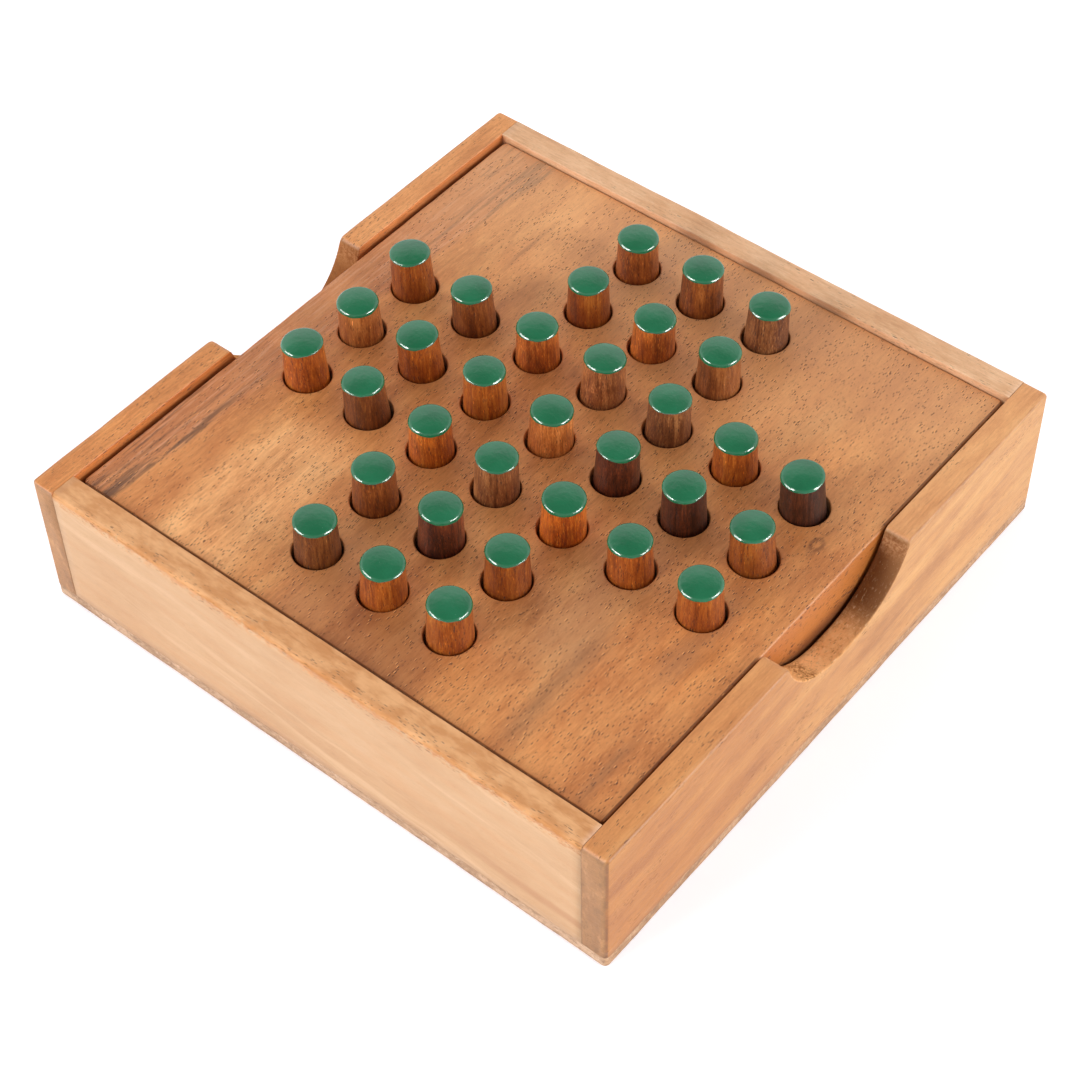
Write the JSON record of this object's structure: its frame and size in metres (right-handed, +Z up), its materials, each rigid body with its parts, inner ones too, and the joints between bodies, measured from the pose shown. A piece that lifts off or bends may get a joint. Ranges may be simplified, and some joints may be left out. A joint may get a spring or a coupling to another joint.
{
  "type": "peg solitaire board",
  "caption": "Square hardwood peg solitaire: a drop-in board with a cross of holes holds loose pegs with green enamelled tops, in a shallow tray with two finger notches.",
  "frame": {"origin": "middle of the tray's underside", "axes": "+Z up out of the tray, +X towards the right notched wall, +Y towards the back wall"},
  "size_m": [0.13, 0.13, 0.0387],
  "materials": {
    "tray_wood": "satin oiled hardwood, tan-orange, fine dark pores",
    "base_wood": "greyish-tan thin panel, matt",
    "board_wood": "satin oiled hardwood with dark pores and brown streaks",
    "peg_wood": "turned reddish-brown hardwood, satin",
    "peg_enamel": "glossy dipped green enamel"
  },
  "bodies": {
    "tray": {"base_panel": "base_wood", "front_wall": "tray_wood", "back_wall": "tray_wood", "left_side_wall": "tray_wood", "right_side_wall": "tray_wood", "front_ledge": "tray_wood", "back_ledge": "tray_wood"},
    "board": {"peg_board": "board_wood"},
    "peg_01": {"peg_01": "peg_wood"},
    "peg_02": {"peg_02": "peg_wood"},
    "peg_03": {"peg_03": "peg_wood"},
    "peg_04": {"peg_04": "peg_wood"},
    "peg_05": {"peg_05": "peg_wood"},
    "peg_06": {"peg_06": "peg_wood"},
    "peg_07": {"peg_07": "peg_wood"},
    "peg_08": {"peg_08": "peg_wood"},
    "peg_09": {"peg_09": "peg_wood"},
    "peg_10": {"peg_10": "peg_wood"},
    "peg_11": {"peg_11": "peg_wood"},
    "peg_12": {"peg_12": "peg_wood"},
    "peg_13": {"peg_13": "peg_wood"},
    "peg_14": {"peg_14": "peg_wood"},
    "peg_15": {"peg_15": "peg_wood"},
    "peg_16": {"peg_16": "peg_wood"},
    "peg_17": {"peg_17": "peg_wood"},
    "peg_18": {"peg_18": "peg_wood"},
    "peg_19": {"peg_19": "peg_wood"},
    "peg_20": {"peg_20": "peg_wood"},
    "peg_21": {"peg_21": "peg_wood"},
    "peg_22": {"peg_22": "peg_wood"},
    "peg_23": {"peg_23": "peg_wood"},
    "peg_24": {"peg_24": "peg_wood"},
    "peg_25": {"peg_25": "peg_wood"},
    "peg_26": {"peg_26": "peg_wood"},
    "peg_27": {"peg_27": "peg_wood"},
    "peg_28": {"peg_28": "peg_wood"},
    "peg_29": {"peg_29": "peg_wood"},
    "peg_30": {"peg_30": "peg_wood"},
    "peg_31": {"peg_31": "peg_wood"},
    "peg_32": {"peg_32": "peg_wood"},
    "peg_33": {"peg_33": "peg_wood"}
  },
  "joints": [
    {"name": "board_lift", "type": "slide", "parent": "tray", "child": "board", "axis": [0, 0, 1], "range_m": [0, 0.03]},
    {"name": "peg_01_lift", "type": "slide", "parent": "board", "child": "peg_01", "axis": [0, 0, 1], "range_m": [0, 0.02]},
    {"name": "peg_02_lift", "type": "slide", "parent": "board", "child": "peg_02", "axis": [0, 0, 1], "range_m": [0, 0.02]},
    {"name": "peg_03_lift", "type": "slide", "parent": "board", "child": "peg_03", "axis": [0, 0, 1], "range_m": [0, 0.02]},
    {"name": "peg_04_lift", "type": "slide", "parent": "board", "child": "peg_04", "axis": [0, 0, 1], "range_m": [0, 0.02]},
    {"name": "peg_05_lift", "type": "slide", "parent": "board", "child": "peg_05", "axis": [0, 0, 1], "range_m": [0, 0.02]},
    {"name": "peg_06_lift", "type": "slide", "parent": "board", "child": "peg_06", "axis": [0, 0, 1], "range_m": [0, 0.02]},
    {"name": "peg_07_lift", "type": "slide", "parent": "board", "child": "peg_07", "axis": [0, 0, 1], "range_m": [0, 0.02]},
    {"name": "peg_08_lift", "type": "slide", "parent": "board", "child": "peg_08", "axis": [0, 0, 1], "range_m": [0, 0.02]},
    {"name": "peg_09_lift", "type": "slide", "parent": "board", "child": "peg_09", "axis": [0, 0, 1], "range_m": [0, 0.02]},
    {"name": "peg_10_lift", "type": "slide", "parent": "board", "child": "peg_10", "axis": [0, 0, 1], "range_m": [0, 0.02]},
    {"name": "peg_11_lift", "type": "slide", "parent": "board", "child": "peg_11", "axis": [0, 0, 1], "range_m": [0, 0.02]},
    {"name": "peg_12_lift", "type": "slide", "parent": "board", "child": "peg_12", "axis": [0, 0, 1], "range_m": [0, 0.02]},
    {"name": "peg_13_lift", "type": "slide", "parent": "board", "child": "peg_13", "axis": [0, 0, 1], "range_m": [0, 0.02]},
    {"name": "peg_14_lift", "type": "slide", "parent": "board", "child": "peg_14", "axis": [0, 0, 1], "range_m": [0, 0.02]},
    {"name": "peg_15_lift", "type": "slide", "parent": "board", "child": "peg_15", "axis": [0, 0, 1], "range_m": [0, 0.02]},
    {"name": "peg_16_lift", "type": "slide", "parent": "board", "child": "peg_16", "axis": [0, 0, 1], "range_m": [0, 0.02]},
    {"name": "peg_17_lift", "type": "slide", "parent": "board", "child": "peg_17", "axis": [0, 0, 1], "range_m": [0, 0.02]},
    {"name": "peg_18_lift", "type": "slide", "parent": "board", "child": "peg_18", "axis": [0, 0, 1], "range_m": [0, 0.02]},
    {"name": "peg_19_lift", "type": "slide", "parent": "board", "child": "peg_19", "axis": [0, 0, 1], "range_m": [0, 0.02]},
    {"name": "peg_20_lift", "type": "slide", "parent": "board", "child": "peg_20", "axis": [0, 0, 1], "range_m": [0, 0.02]},
    {"name": "peg_21_lift", "type": "slide", "parent": "board", "child": "peg_21", "axis": [0, 0, 1], "range_m": [0, 0.02]},
    {"name": "peg_22_lift", "type": "slide", "parent": "board", "child": "peg_22", "axis": [0, 0, 1], "range_m": [0, 0.02]},
    {"name": "peg_23_lift", "type": "slide", "parent": "board", "child": "peg_23", "axis": [0, 0, 1], "range_m": [0, 0.02]},
    {"name": "peg_24_lift", "type": "slide", "parent": "board", "child": "peg_24", "axis": [0, 0, 1], "range_m": [0, 0.02]},
    {"name": "peg_25_lift", "type": "slide", "parent": "board", "child": "peg_25", "axis": [0, 0, 1], "range_m": [0, 0.02]},
    {"name": "peg_26_lift", "type": "slide", "parent": "board", "child": "peg_26", "axis": [0, 0, 1], "range_m": [0, 0.02]},
    {"name": "peg_27_lift", "type": "slide", "parent": "board", "child": "peg_27", "axis": [0, 0, 1], "range_m": [0, 0.02]},
    {"name": "peg_28_lift", "type": "slide", "parent": "board", "child": "peg_28", "axis": [0, 0, 1], "range_m": [0, 0.02]},
    {"name": "peg_29_lift", "type": "slide", "parent": "board", "child": "peg_29", "axis": [0, 0, 1], "range_m": [0, 0.02]},
    {"name": "peg_30_lift", "type": "slide", "parent": "board", "child": "peg_30", "axis": [0, 0, 1], "range_m": [0, 0.02]},
    {"name": "peg_31_lift", "type": "slide", "parent": "board", "child": "peg_31", "axis": [0, 0, 1], "range_m": [0, 0.02]},
    {"name": "peg_32_lift", "type": "slide", "parent": "board", "child": "peg_32", "axis": [0, 0, 1], "range_m": [0, 0.02]},
    {"name": "peg_33_lift", "type": "slide", "parent": "board", "child": "peg_33", "axis": [0, 0, 1], "range_m": [0, 0.02]}
  ]
}
